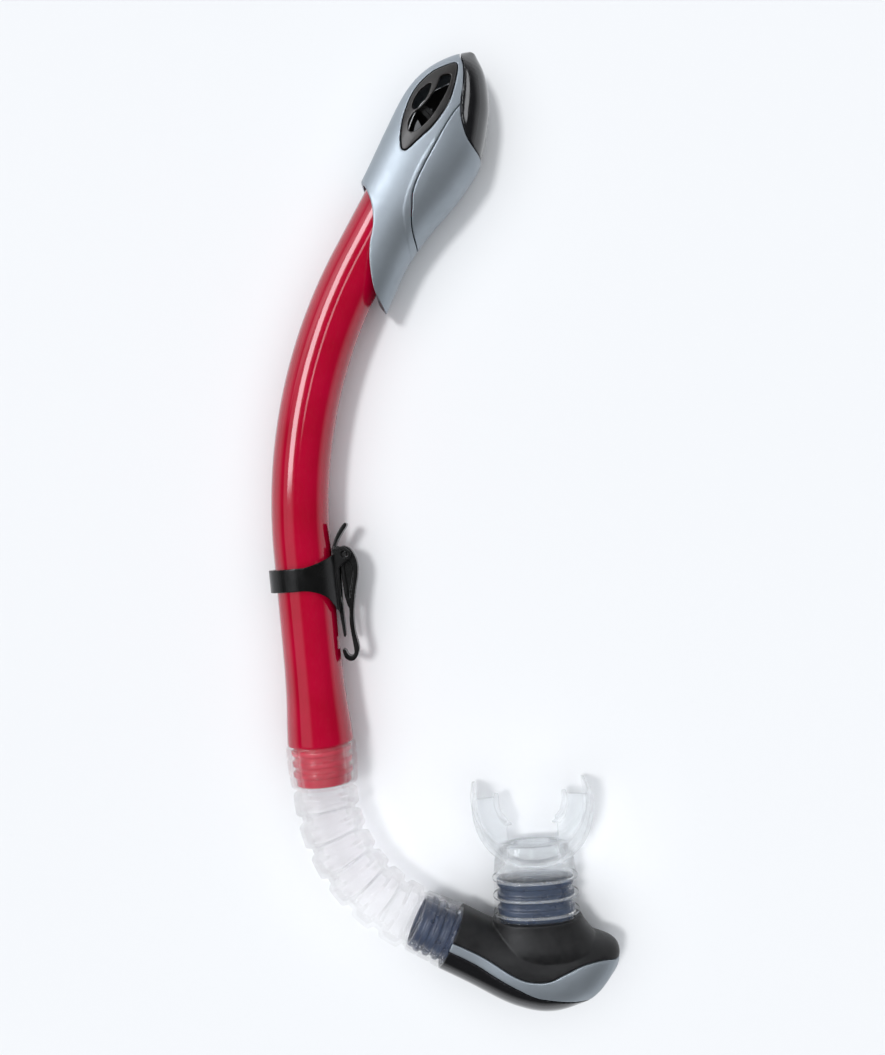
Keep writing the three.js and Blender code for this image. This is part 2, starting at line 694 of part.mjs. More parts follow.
function chamber() {
  const group = new THREE.Group();
  const inlet = hoseFrame(HOSE_LENGTH + HOSE.lowerCuff);
  group.position.set(inlet.x, inlet.y, 0);
  group.rotation.z = rad(90 - inlet.lean);
  const mouth = piece("mouthpiece", mouthpiece(), "clear");
  mouth.position.set(...MOUTH.rimAt, 0);
  mouth.rotation.z = rad(MOUTH_TURN);
  group.add(
    ...chamberShells(),
    piece("chamber_body", chamberBody(), "navy"),
    piece("purge_valve_seat", purgeSeat(), "navy"),
    piece("purge_valve", purgeValve(), "clear"),
    mouth,
  );
  return group;
}

// ---------- the whole snorkel, standing on the bottom centre of its own box ----------
const snorkel = new THREE.Group();
snorkel.name = "snorkel";
snorkel.add(
  piece("barrel", barrel(), "crimson"),
  piece("flex_hose", flexHose(), "clear"),
  dryTop(),
  keeper(),
  chamber(),
);
const extent = new THREE.Box3().setFromObject(snorkel, true);
const middle = extent.getCenter(new THREE.Vector3());
snorkel.position.set(-middle.x, -middle.y, -extent.min.z);

export default snorkel;
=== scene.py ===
"""A dry-top snorkel lying on a pale floor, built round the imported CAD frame."""

import json
import math

import bpy
import numpy as np
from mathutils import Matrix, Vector
from mathutils.bvhtree import BVHTree


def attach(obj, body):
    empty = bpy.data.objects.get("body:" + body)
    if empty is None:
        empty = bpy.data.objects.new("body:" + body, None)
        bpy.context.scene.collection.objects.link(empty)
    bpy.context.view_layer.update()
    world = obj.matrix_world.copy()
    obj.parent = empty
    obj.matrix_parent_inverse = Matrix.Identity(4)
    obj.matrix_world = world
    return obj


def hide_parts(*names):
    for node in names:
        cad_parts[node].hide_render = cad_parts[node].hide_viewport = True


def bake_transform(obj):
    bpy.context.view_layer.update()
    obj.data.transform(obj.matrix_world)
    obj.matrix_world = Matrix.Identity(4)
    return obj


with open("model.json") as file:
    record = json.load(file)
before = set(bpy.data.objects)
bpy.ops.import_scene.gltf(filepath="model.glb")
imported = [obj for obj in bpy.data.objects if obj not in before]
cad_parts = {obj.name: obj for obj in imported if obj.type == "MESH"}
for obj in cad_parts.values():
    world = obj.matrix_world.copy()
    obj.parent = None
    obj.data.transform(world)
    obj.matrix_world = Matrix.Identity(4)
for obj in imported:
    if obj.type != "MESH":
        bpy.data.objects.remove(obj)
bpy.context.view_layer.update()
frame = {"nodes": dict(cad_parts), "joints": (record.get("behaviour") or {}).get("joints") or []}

MM = 0.001
FAR = 60.0  # millimetres, well outside every shell
JOINTS = {joint["name"]: joint for joint in frame["joints"]}
rad = math.radians


# ---------------------------------------------------------------- local axes
class Axes:
    """Flat axes in the row frame: x and y in millimetres from an origin, z from the middle plane."""

    def __init__(self, origin, up):
        self.origin = np.array(origin, float)
        self.up = np.array(up, float)
        self.right = np.array([self.up[1], -self.up[0], 0.0])

    def moved(self, x, y, turn=0.0):
        """Axes at (x, y), turned anticlockwise by so many degrees."""
        c, s = math.cos(rad(turn)), math.sin(rad(turn))
        return Axes(self.origin + (self.right * x + self.up * y) * MM, self.up * c - self.right * s)

    def place(self, points):
        points = np.asarray(points, float)
        flat = points[..., :1] * self.right + points[..., 1:2] * self.up
        return self.origin + (flat + points[..., 2:3] * np.array([0, 0, 1.0])) * MM

    def point(self, x, y, z=0.0):
        return Vector(self.place([x, y, z]))


VALVE_PIVOT = (16.5, 66.0)  # in the dry top's axes
KEEPER_PIN = (19.9, 10.7)  # in the keeper's axes
LOW = Axes(JOINTS["hose_swivel"]["pos_m"], JOINTS["hose_swivel"]["axis"])
TOP = Axes(JOINTS["valve_rock"]["pos_m"], JOINTS["float_lift"]["axis"])
TOP = TOP.moved(-VALVE_PIVOT[0], -VALVE_PIVOT[1])
KEEPER = Axes(JOINTS["keeper_open"]["pos_m"], JOINTS["keeper_slide"]["axis"])
KEEPER = KEEPER.moved(-KEEPER_PIN[0], -KEEPER_PIN[1])


# ---------------------------------------------------------------- meshes
def add_object(name, points, faces):
    mesh = bpy.data.meshes.new(name)
    mesh.from_pydata([tuple(p) for p in points], [], faces)
    mesh.validate()
    mesh.update()
    obj = bpy.data.objects.new(name, mesh)
    bpy.context.scene.collection.objects.link(obj)
    return obj


def loft(name, rings, closed=False):
    """Skins rows of points; the two ends are capped unless the row of rings closes on itself."""
    rings = np.asarray(rings, float)
    rows, count = rings.shape[:2]
    faces = []
    for r in range(rows if closed else rows - 1):
        below, above = r * count, ((r + 1) % rows) * count
        for i in range(count):
            j = (i + 1) % count
            faces.append((below + i, below + j, above + j, above + i))
    if not closed:
        faces.append(tuple(range(count))[::-1])
        faces.append(tuple((rows - 1) * count + i for i in range(count)))
    return add_object(name, rings.reshape(-1, 3), faces)


def turned_left(outline):
    """Whether a closed outline runs anticlockwise."""
    x, y = outline.T
    return np.sum(x * np.roll(y, -1) - np.roll(x, -1) * y) > 0


def prism(axes, outline, low=-FAR, high=FAR):
    """An outline in flat axes, made solid between two heights."""
    outline = np.asarray(outline, float)
    if not turned_left(outline):
        outline = outline[::-1]
    rings = [np.column_stack([outline, np.full(len(outline), z)]) for z in (low, high)]
    return loft("prism", axes.place(rings))


def block(axes, x0, x1, y0, y1, z0, z1):
    return prism(axes, [(x0, y0), (x1, y0), (x1, y1), (x0, y1)], z0, z1)


def settle(obj):
    """Turns an object's modifiers into its mesh."""
    graph = bpy.context.evaluated_depsgraph_get()
    mesh = bpy.data.meshes.new_from_object(obj.evaluated_get(graph))
    obj.modifiers.clear()
    old, obj.data = obj.data, mesh
    bpy.data.meshes.remove(old)
    return obj


def combine(obj, tools, how):
    for tool in tools:
        change = obj.modifiers.new(how, "BOOLEAN")
        change.object = tool
        change.operation = how
        change.solver = "MANIFOLD"
        settle(obj)
        bpy.data.objects.remove(tool)
    return obj


def cut(obj, *tools):
    return combine(obj, tools, "DIFFERENCE")


def join(obj, *tools):
    return combine(obj, tools, "UNION")


def keep(obj, *tools):
    return combine(obj, tools, "INTERSECT")


def copied(obj):
    other = obj.copy()
    other.data = obj.data.copy()
    bpy.context.scene.collection.objects.link(other)
    return other


def moulded(obj, voxel=0.34, rounds=9, kept=0.3):
    """Gives a cut solid the soft edges of a moulding: a fine even skin, smoothed and thinned out."""
    skin = obj.modifiers.new("skin", "REMESH")
    skin.mode = "VOXEL"
    skin.voxel_size = voxel * MM
    skin.use_smooth_shade = True
    soften = obj.modifiers.new("soften", "SMOOTH")
    soften.factor = 0.5
    soften.iterations = rounds
    thin = obj.modifiers.new("thin", "DECIMATE")
    thin.ratio = kept
    settle(obj)
    shade_smooth(obj)
    return obj


def shade_smooth(obj):
    obj.data.polygons.foreach_set("use_smooth", [True] * len(obj.data.polygons))
    obj.data.update()
    return obj


def finish(obj, name, material, body, *nodes, slot):
    """Names a piece, gives it its material and body, and lets it stand for CAD nodes."""
    obj.name = name
    obj.data.name = name
    obj.data.materials.clear()
    obj.data.materials.append(material)
    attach(obj, body)
    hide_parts(*nodes)
    return obj


def even(start, end, step):
    """Stations from start to end, about a step apart."""
    count = max(1, round(abs(end - start) / step))
    return np.linspace(start, end, count + 1)


def graph(pairs):
    """A smooth value read from a few (station, value) pairs."""
    xs, ys = np.array(pairs, float).T

    def slope(k):
        a, b = max(k - 1, 0), min(k + 1, len(xs) - 1)
        return (ys[b] - ys[a]) / (xs[b] - xs[a])

    def read(at):
        if at <= xs[0]:
            return ys[0]
        if at >= xs[-1]:
            return ys[-1]
        i = int(np.searchsorted(xs, at, "right")) - 1
        span = xs[i + 1] - xs[i]
        t = (at - xs[i]) / span
        ease = t * t * (3 - 2 * t)
        bow = slope(i) * (1 - t) - slope(i + 1) * t
        return ys[i] * (1 - ease) + ys[i + 1] * ease + bow * span * t * (1 - t)

    return read


def smooth_line(points, each=12, loop=False):
    """A Catmull-Rom line through the points."""
    points = np.asarray(points, float)
    if loop:
        padded = np.vstack([points[-1:], points, points[:2]])
    else:
        padded = np.vstack([2 * points[0] - points[1], points, 2 * points[-1] - points[-2]])
    line = []
    for a, b, c, d in zip(padded, padded[1:], padded[2:], padded[3:]):
        for t in np.arange(each) / each:
            line.append(0.5 * (2 * b + (c - a) * t + (2 * a - 5 * b + 4 * c - d) * t * t
                               + (3 * b - a - 3 * c + d) * t ** 3))
    if not loop:
        line.append(points[-1])
    return np.array(line)


def shifted(line, dx, dy):
    return np.asarray(line) + (dx, dy)


def resized(outline, by):
    """Grows or shrinks a closed outline along its own normals."""
    outline = np.asarray(outline, float)
    along = np.roll(outline, -1, 0) - np.roll(outline, 1, 0)
    normal = np.column_stack([along[:, 1], -along[:, 0]])
    normal /= np.linalg.norm(normal, axis=1)[:, None]
    return outline + normal * by * (1 if turned_left(outline) else -1)


# ---------------------------------------------------------------- driving dimensions, millimetres
SIDES = 96
CIRCLE = np.arange(SIDES) * 2 * math.pi / SIDES
BARREL_RADIUS = 13.5
BARREL_BORE = 11.2
BARREL_BEND = 240.0
BARREL_LOW = 108.6  # straight lower end, with the spigot
BARREL_HIGH = 60.0  # straight upper end
BARREL_TURN = math.degrees(math.atan2(TOP.up[0], TOP.up[1]) - math.atan2(LOW.up[0], LOW.up[1]))
BEND_LENGTH = BARREL_BEND * rad(BARREL_TURN)
BARREL_LENGTH = BARREL_LOW + BEND_LENGTH + BARREL_HIGH
SPIGOT = 18.5
SPIGOT_RADIUS = 14.1
SPIGOT_RIB = 1.1  # how far its ribs stand out
FLARE_RADIUS = 15.5
FLARE_LENGTH = 50.0
HOSE_START = -1.5  # up the barrel from its spigot's end
HOSE_LEAD = 3.5
HOSE_BEND = 73.0
HOSE_TURN = 59.9
HOSE_LENGTH = HOSE_LEAD + HOSE_BEND * rad(HOSE_TURN)
LOWER_CUFF = 18.2
RIDGES = 6
CUFF_GAP = 0.3  # left free at each end of the hose
CHAMBER_LENGTH = 75.8
MOUTH_RIM = (32.9, 25.6)
MOUTH_TURN = 27.8
NECK = 27.0
NECK_BEADS = (2.4, 10.2, 18.4)


def barrel_axes(at):
    """Axes on the barrel's centre line, so far up from its spigot's end."""
    bend = at - BARREL_LOW
    if bend <= 0:
        return LOW.moved(0, at)
    turn = min(bend, BEND_LENGTH) / BARREL_BEND
    start = LOW.moved(0, BARREL_LOW)
    bent = start.moved(BARREL_BEND * (1 - math.cos(turn)), BARREL_BEND * math.sin(turn),
                       -math.degrees(turn))
    return bent.moved(0, max(0.0, bend - BEND_LENGTH))


HOSE_TOP = LOW.moved(0, HOSE_START, 180)


def hose_axes(at):
    """Axes on the hose's centre line, so far down from its upper cuff."""
    if at <= HOSE_LEAD:
        return HOSE_TOP.moved(0, at)
    turn = min(at - HOSE_LEAD, HOSE_LENGTH - HOSE_LEAD) / HOSE_BEND
    start = HOSE_TOP.moved(0, HOSE_LEAD)
    bent = start.moved(-HOSE_BEND * (1 - math.cos(turn)), HOSE_BEND * math.sin(turn),
                       math.degrees(turn))
    return bent.moved(0, max(0.0, at - HOSE_LENGTH))


CHAMBER = hose_axes(HOSE_LENGTH + LOWER_CUFF).moved(0, 0, 90)
MOUTH = CHAMBER.moved(*MOUTH_RIM, MOUTH_TURN)
ROW = Axes((0, 0, 0), (0, 1, 0))


def round_ring(axes, radius):
    """A ring across a centre line."""
    x, z = -radius * np.cos(CIRCLE), radius * np.sin(CIRCLE)
    return axes.place(np.column_stack([x, np.zeros(SIDES), z]))


def round_bar(name, rings):
    """A solid bar from (axes, radius) pairs along a centre line."""
    return loft(name, [round_ring(axes, radius) for axes, radius in rings])


def hollow_bar(name, axes_at, outside, inside):
    """A tube from (station, radius) rows: up its outside and back down its bore."""
    rings = [round_ring(axes_at(at), radius) for at, radius in outside]
    rings += [round_ring(axes_at(at), radius) for at, radius in reversed(inside)]
    return shade_smooth(loft(name, rings, closed=True))


def eased(rows, step=0.8):
    """Fills (station, radius) rows in with small steps, so that a bent tube stays round."""
    filled = []
    for (a, ra), (b, rb) in zip(rows, rows[1:]):
        for t in np.linspace(0, 1, max(2, int(abs(b - a) / step) + 1))[:-1]:
            filled.append((a + (b - a) * t, ra + (rb - ra) * t))
    return filled + [rows[-1]]


def rounded(rows, radius, steps=4):
    """Replaces each corner of a row of (station, radius) points by a small curve."""
    rows = [np.array(row, float) for row in rows]
    line = [rows[0]]
    for before, here, after in zip(rows, rows[1:], rows[2:]):
        reach = [min(radius, 0.45 * np.linalg.norm(side - here)) for side in (before, after)]
        first = here + (before - here) * reach[0] / max(np.linalg.norm(before - here), 1e-9)
        last = here + (after - here) * reach[1] / max(np.linalg.norm(after - here), 1e-9)
        for t in np.linspace(0, 1, steps):
            line.append(first * (1 - t) ** 2 + 2 * here * t * (1 - t) + last * t * t)
    return [tuple(p) for p in line + [rows[-1]]]


# ---------------------------------------------------------------- barrel and hose
def barrel():
    valley = SPIGOT_RADIUS - SPIGOT_RIB
    ribs = []
    for at in (4, 9, 14):
        ribs += [(at, valley), (at + 0.5, SPIGOT_RADIUS), (at + 2.4, SPIGOT_RADIUS), (at + 3, valley)]
    lip = [(SPIGOT, valley), (SPIGOT + 0.25, FLARE_RADIUS - 0.7),
           (SPIGOT + 0.5, FLARE_RADIUS - 0.1), (SPIGOT + 1.4, FLARE_RADIUS)]
    flare = graph([(SPIGOT + 1.4, FLARE_RADIUS), (SPIGOT + 9, 15.05), (SPIGOT + 20, 14.2),
                   (SPIGOT + 34, 13.65), (SPIGOT + FLARE_LENGTH, BARREL_RADIUS)])
    outside = [(0, SPIGOT_RADIUS - 1.6), (0.4, valley)] + ribs + lip
    outside = rounded(outside, 0.3, 3)
    outside += [(at, flare(at)) for at in even(SPIGOT + 3, SPIGOT + FLARE_LENGTH, 2)]
    straight = SPIGOT + FLARE_LENGTH + 3
    outside += [(at, BARREL_RADIUS) for at in even(straight, BARREL_LENGTH - 0.5, 3)]
    outside += [(BARREL_LENGTH, BARREL_RADIUS - 0.5)]
    inside = [(at, BARREL_BORE) for at in even(0, BARREL_LENGTH, 3)]
    return hollow_bar("barrel_tube", barrel_axes, outside, inside)


def ridge_rows(valley, ridge, wide):
    """One side of the hose's wall: a flat-topped ridge in each pitch."""
    pitch = HOSE_LENGTH / RIDGES
    rows = []
    for i in range(RIDGES):
        start = (i + 0.5 * (1 - wide) - 0.02) * pitch
        end = start + wide * pitch
        rows += [(start - 0.07 * pitch, valley), (start + 0.05 * pitch, ridge),
                 (end - 0.05 * pitch, ridge + 0.1), (end + 0.07 * pitch, valley)]
    return rows


def hose():
    top = HOSE_START - SPIGOT + CUFF_GAP
    cuff = HOSE_LENGTH
    end = cuff + LOWER_CUFF - CUFF_GAP
    outside = [(top, 15.6), (top + 0.3, 16.1), (top + 1.0, 16.4), (top + 4.5, 16.5), (top + 4.9, 16.05),
               (top + 5.5, 16.05), (top + 6.0, 16.45), (top + 12.5, 16.2), (top + 12.9, 15.7),
               (top + 13.5, 15.7), (top + 14.0, 16.0), (-1.4, 15.6), (-0.2, 13.4)]
    outside += ridge_rows(12.6, 15.0, 0.66)
    outside += [(cuff + 0.3, 13.3), (cuff + 0.8, 14.3), (cuff + 5.6, 14.6),
                (cuff + 6.0, 14.1), (cuff + 6.5, 14.1), (cuff + 7.0, 14.7),
                (cuff + 12.6, 14.9), (cuff + 13.0, 14.4), (cuff + 13.5, 14.4),
                (cuff + 14.0, 15.1), (end - 1.0, 15.4), (end - 0.3, 15.2), (end, 14.7)]
    inside = [(top, 14.4), (-1.6, 14.4), (-1.2, 10.9)]
    inside += ridge_rows(10.9, 13.4, 0.5)
    inside += [(cuff, 11.0), (cuff + 0.8, 13.1), (cuff + 6, 13.4), (end, 13.7)]
    return hollow_bar("hose", hose_axes, eased(rounded(outside, 0.5)), eased(rounded(inside, 0.5)))


# ---------------------------------------------------------------- dry top
TOP_LENGTH = 111.0
TOP_WALL = 1.8
CAP_GAP = 0.35
SEAM_GAP = 0.3
WINDOW_GAP = 0.45
CAP_RISE = 0.1  # how far each piece stands out of the front shell
REAR_RISE = 0.36
RIDGE_RISE = 0.24
top_left = graph([(-16, -16.3), (33, -16.8), (60, -18), (76, -18.4), (86, -17.2), (95, -13.9),
                  (103, -8.8), (108, -4.6), (111, -1.2)])
top_right = graph([(-16, 22.2), (7, 20.5), (20, 21), (31, 22.9), (43, 25.7), (55, 27.6),
                   (67, 28.1), (86, 22.4), (95, 18), (105, 10.4), (111, 2.6)])
top_half = graph([(-16, 15.6), (7, 16.5), (30, 18), (58, 19.5), (78, 18.4), (92, 15), (103, 10), (111, 3)])
FULLNESS = 0.86  # below 1 the sections are squarer than an ellipse


def swell(value):
    return np.sign(value) * np.abs(value) ** FULLNESS


def cross_ring(axes, y, left, right, half):
    """A full oval ring across the y axis."""
    x = (left + right) / 2 + (right - left) / 2 * swell(np.sin(CIRCLE))
    return axes.place(np.column_stack([x, np.full(SIDES, y), half * swell(np.cos(CIRCLE))]))


def dome(length, depth, steps):
    """Stations that crowd together towards a rounded end."""
    return length - depth * (1 - np.cos(np.linspace(0, math.pi / 2, steps)))[::-1]


def drawn_in(inset, at, start, length):
    """How far a ring of an inner form moves back, so that the wall goes on round the end."""
    return max(0.0, inset) * max(0.0, (at - start) / (length - start))


def nose(ring, ahead):
    """The small last ring of a rounded end."""
    return ring.mean(0) + (ring - ring.mean(0)) * 0.6 + ahead * MM


def top_form(inset, start=-16.0):
    """The dry top's form, so many millimetres inside its surface."""
    rings = []
    for y in [*even(start, 106, 2.0), *dome(TOP_LENGTH, 3.2, 7)]:
        pulled = drawn_in(inset, y, 84, TOP_LENGTH)
        rings.append(cross_ring(TOP, y - pulled, top_left(y) + inset, top_right(y) - inset,
                                top_half(y) - inset))
    rings.append(nose(rings[-1], TOP.up * 0.5))
    return loft("form", rings)


SCOOP_EDGE = smooth_line([(-18.4, 33.6), (-16.8, 33), (-10.8, 28.8), (-4.5, 22.7), (0, 15.3),
                          (2.6, 7.3), (7.2, -1.4), (14.2, -10.2), (21.4, -14.9)])
CAP_EDGE = smooth_line([(-5.5, 113), (-3, 106.3), (1.8, 100.4), (6.1, 92.1), (8.6, 85.4), (12.4, 77.8),
                        (18.5, 71.4), (24, 69), (31, 68.2)])
REAR_SEAM = smooth_line([(14, 100), (9.1, 79.2), (8.3, 58.1), (8.8, 39.7), (12.1, 30.6), (15.9, 23.4),
                         (20, 19), (26, 15)])
REAR_RIDGE = smooth_line([(7.0, 62), (6.3, 50), (6.9, 38.5), (8.3, 30.8), (10.4, 25.9), (15.9, 18.5),
                          (22.6, 10.8), (27, 6)])
WINDOW = smooth_line([(-2.6, 99.6), (-5.4, 96.6), (-9.9, 90), (-12.6, 79), (-11.2, 67), (-8, 57.7),
                      (-4.9, 52.4), (-3.4, 51.6), (-2, 52.8), (0.6, 59.8), (3.3, 68.2), (4.3, 79.7),
                      (2, 90.6), (-0.8, 98.4)], 8, loop=True)
WINDOW_SLIM = smooth_line([(-7.2, 84.9), (-9.6, 81.4), (-10.6, 76.4), (-10.0, 72.2), (-8.4, 70.4),
                           (-6.4, 72.2), (-5.7, 76.6), (-5.9, 81.2)], 8, loop=True)
WINDOW_WIDE = smooth_line([(-1.6, 93.0), (-3.6, 91.9), (-4.9, 89.4), (-4.0, 84.6), (-4.2, 78.5),
                           (-5.3, 73.0), (-7.5, 68.4), (-7.4, 63.8), (-5.9, 60.9), (-3.8, 60.4),
                           (-1.3, 63.6), (0.7, 70.3), (1.3, 77.7), (1.0, 85.2), (-0.2, 91.0)], 8, loop=True)


def beyond(edge, *corners):
    return np.vstack([edge, corners])


def cap_side(gap):
    return beyond(shifted(CAP_EDGE, -gap, -gap), (FAR, 68), (FAR, 140), (-5.5, 140))


def rear_side(gap):
    return beyond(shifted(REAR_SEAM, -gap, -gap), (FAR, 15), (FAR, 100))


def scoop_cut():
    return prism(TOP, beyond(SCOOP_EDGE, (FAR, -14.9), (FAR, -FAR), (-FAR, -FAR), (-FAR, 33.6)))


def top_shell(rise=0.0):
    return cut(top_form(-rise), top_form(TOP_WALL, -30.0), scoop_cut())


def dry_top_shells():
    """Front shell, raised rear shell and cap, and the two window frames."""
    shell = top_shell()
    band = keep(top_shell(RIDGE_RISE), prism(TOP, beyond(REAR_RIDGE, (FAR, 6), (FAR, 62))))
    front = cut(join(copied(shell), band), prism(TOP, cap_side(CAP_GAP)), prism(TOP, rear_side(SEAM_GAP)),
                prism(TOP, resized(WINDOW, WINDOW_GAP)))
    rear = keep(top_shell(REAR_RISE), prism(TOP, rear_side(0)))
    rear = cut(rear, prism(TOP, cap_side(CAP_GAP)))
    cap = keep(top_shell(CAP_RISE), prism(TOP, cap_side(0)))
    bezels = []
    for low, high in ((0, FAR), (-FAR, 0)):
        bezel = keep(copied(shell), prism(TOP, WINDOW, low, high))
        bezels.append(cut(bezel, prism(TOP, WINDOW_SLIM), prism(TOP, WINDOW_WIDE)))
    bpy.data.objects.remove(shell)
    return moulded(front), moulded(rear), moulded(cap), [moulded(b, 0.3, 5) for b in bezels]


# ---------------------------------------------------------------- chamber
chamber_top = graph([(0, 15), (16, 14.6), (30, 17), (40, 19), (50, 24), (58, 29), (65, 30.4), (70, 30.6),
                     (73.4, 29), (75.8, 24.5)])
chamber_bottom = graph([(0, -15), (16, -15.2), (32, -15.7), (40, -15.2), (50, -13.2), (58, -9.4), (65, -3.6),
                        (70.3, 1.5), (73.6, 8.5), (75.8, 16)])
chamber_half = graph([(0, 15), (16, 15.8), (32, 18.4), (48, 19.6), (58, 19), (66, 16.4),
                      (72, 11.5), (75.8, 4)])
CHAMBER_WALL = 1.8
BODY_OUTSIDE = 2.1  # the inner body's two surfaces, inside the chamber's form
BODY_INSIDE = 3.9
COVER_GAP = 0.2  # left free beside the trim by the cover and the keel
TRIM_GAP = 0.1
CREASE_RADIUS = 0.95
KEEL_SLOTS = (-5, 0, 5)
SLOT_HALF = 1.1
BODY_RIBS = (-14.0, -9.4, -4.8)
NECK_RIBS = (2.6, 9.0, 15.2)
TRIM_TOP = smooth_line([(-5, 1.6), (6.7, 2.1), (17.4, 1.9), (28, 1), (35, 1), (41, 2.7), (46.7, 6),
                        (51.3, 11.3), (58.4, 18.8), (66.9, 23.6), (75, 25), (85, 25.5)])
TRIM_BOTTOM = smooth_line([(-5, -2.3), (12.3, -2.4), (23.3, -3.4), (33.9, -3.8), (44.3, -3.6), (50.6, -1.9),
                           (60.3, 0.8), (68.8, 3.2), (85, 6.6)])


def chamber_form(inset, start=0.0):
    """The chamber's form, so many millimetres inside its surface."""
    rings = []
    for x in [*even(start, 71, 1.5), *dome(CHAMBER_LENGTH, 3.8, 9)]:
        high, low = chamber_top(x) - inset, chamber_bottom(x) + inset
        y = (high + low) / 2 + (high - low) / 2 * swell(np.cos(CIRCLE))
        z = (chamber_half(x) - inset) * swell(np.sin(CIRCLE))
        station = np.full(SIDES, x - drawn_in(inset, x, 60, CHAMBER_LENGTH))
        rings.append(CHAMBER.place(np.column_stack([station, y, z])))
    rings.append(nose(rings[-1], CHAMBER.right * 0.4))
    return loft("form", rings)


CREASE = smooth_line([(11.5, 20.5), (13.2, 17.2), (16.4, 14.9), (20.6, 13.0), (24.6, 12.2),
                      (29.4, 12.0), (34.0, 12.6)], 8)


def groove(shell, axes, line, radius, below=False):
    """A thin bar that follows a line over a shell's surface, fading out at its last points."""
    surface = BVHTree.FromObject(shell, bpy.context.evaluated_depsgraph_get())
    side = -1 if below else 1
    rings = []
    for k, (x, y) in enumerate(line):
        hit = surface.ray_cast(axes.point(x, y, side * FAR), Vector((0, 0, -side)))[0]
        if hit is None:
            continue
        height = side * (hit.z - axes.origin[2]) / MM + 0.1 * radius * (1 + 6 * k / len(line))
        before, after = line[max(k - 1, 0)], line[min(k + 1, len(line) - 1)]
        along = (after - before) / np.linalg.norm(after - before)
        across = np.array([along[1], -along[0]])
        angle = np.arange(8) * math.pi / 4
        flat = np.array([x, y]) + np.outer(radius * np.cos(angle), across)
        rings.append(axes.place(np.column_stack([flat, side * (height + radius * side * np.sin(angle))])))
    return loft("groove", rings)


def oval_bar(stations):
    """A bar along the mouthpiece's axis, from (station, left, right, half height) rows."""
    return loft("oval", [cross_ring(MOUTH, y, -left, right, half) for y, left, right, half in stations])


def oval(y, width, half):
    """A row of an oval bar that reaches as far to the left as to the right."""
    return (y, width, width, half)


def along_mouth(rows, step=1.0):
    """Fills in (station, left, right, half) rows smoothly."""
    curves = [graph([(row[0], row[k]) for row in rows]) for k in (1, 2, 3)]
    return [(y, *(curve(y) for curve in curves)) for y in even(rows[0][0], rows[-1][0], step)]


def above_trim(gap):
    return beyond(shifted(TRIM_TOP, 0, gap), (85, FAR), (-5, FAR))


def below_trim(gap):
    return beyond(shifted(TRIM_BOTTOM, 0, -gap), (85, -FAR), (-5, -FAR))


def chamber_shells():
    """Upper cover, trim and keel, cut from one form with the skirt of the mouthpiece's spigot."""
    skirt = oval_bar(along_mouth([(-18, 21, 30.4, 17), (-14, 23, 30.9, 18), (-11, 23, 28.1, 17.6),
                                  (-7, 22.4, 24.9, 16.2), (-3, 21.4, 22.1, 14.9),
                                  (-0.3, 20.8, 20.8, 14.3)]))
    shell = join(chamber_form(0), skirt)
    shell = cut(shell, groove(shell, CHAMBER, CREASE, CREASE_RADIUS),
                groove(shell, CHAMBER, CREASE, CREASE_RADIUS, below=True))
    bore = oval_bar([oval(-18, 17.8, 11.1), oval(10, 17.8, 11.1)])
    shell = cut(shell, chamber_form(CHAMBER_WALL, -6.0), bore)
    cover = keep(copied(shell), prism(CHAMBER, above_trim(COVER_GAP)))
    keel = keep(copied(shell), prism(CHAMBER, below_trim(COVER_GAP)))
    keel = cut(keel, *[block(CHAMBER, 37, 49, -30, -8, z - SLOT_HALF, z + SLOT_HALF) for z in KEEL_SLOTS])
    trim = cut(shell, prism(CHAMBER, above_trim(-TRIM_GAP)), prism(CHAMBER, below_trim(-TRIM_GAP)))
    return moulded(cover), moulded(trim, 0.32, 5), moulded(keel)


def chamber_body():
    """The inner tube: hose spigot and mouthpiece spigot with their ribs, and the purge port."""
    axis = CHAMBER.moved(0, 0, -90)
    spigot_rows = [(-17.4, 11.4), (-17.0, 12.0)]
    for at in BODY_RIBS:
        spigot_rows += [(at - 0.3, 12.0), (at, 13.0), (at + 2.2, 13.0), (at + 2.5, 12.0)]
    spigot_rows += [(2, 12.2)]
    spigot = round_bar("spigot", [(axis.moved(0, at), radius) for at, radius in rounded(spigot_rows, 0.3, 3)])
    neck_rows = [oval(-18, 17.0, 10.3)]
    for at in NECK_RIBS:
        neck_rows += [oval(at - 0.3, 17.0, 10.3), oval(at, 18.1, 11.4), oval(at + 2.6, 18.1, 11.4),
                      oval(at + 2.9, 17.0, 10.3)]
    neck_rows += [oval(18.2, 16.9, 10.2)]
    body = join(chamber_form(BODY_OUTSIDE), spigot, oval_bar(neck_rows))
    bore = round_bar("bore", [(axis.moved(0, at), 10.2) for at in (-22, 3)])
    port = round_bar("port", [(CHAMBER.moved(44, at), 5.6) for at in (-20, 0)])
    neck_bore = oval_bar([oval(-18, 15.4, 8.7), oval(22, 15.4, 8.7)])
    body = cut(body, chamber_form(BODY_INSIDE), bore, port, neck_bore)
    recess = [(20, -FAR), (20, -16), (29, -7), (32, -5.4), (56, -5.4), (59, -7), (66, -16), (66, -FAR)]
    return moulded(cut(body, prism(CHAMBER, recess)), 0.36, 3)


# ---------------------------------------------------------------- mouthpiece
ARCH_CENTRE = 55.0
ARCH_WIDTH = 28.2
ARCH_STEPS = 40
ARCH_POWER = 0.9  # below 1 the arch is squarer than an ellipse
SHIELD_WALL = 2.2
SHIELD_HALF = 16.0
SHIELD_TIP = 61.5
WING_HALF = 1.5
NIB_HALF = 4.6


def arch(width, depth):
    """A dental arch, open towards the mouth."""
    angle = np.linspace(0, math.pi, ARCH_STEPS + 1)
    x = -width * np.sign(np.cos(angle)) * np.abs(np.cos(angle)) ** ARCH_POWER
    return np.column_stack([x, ARCH_CENTRE - depth * np.sin(angle) ** ARCH_POWER])


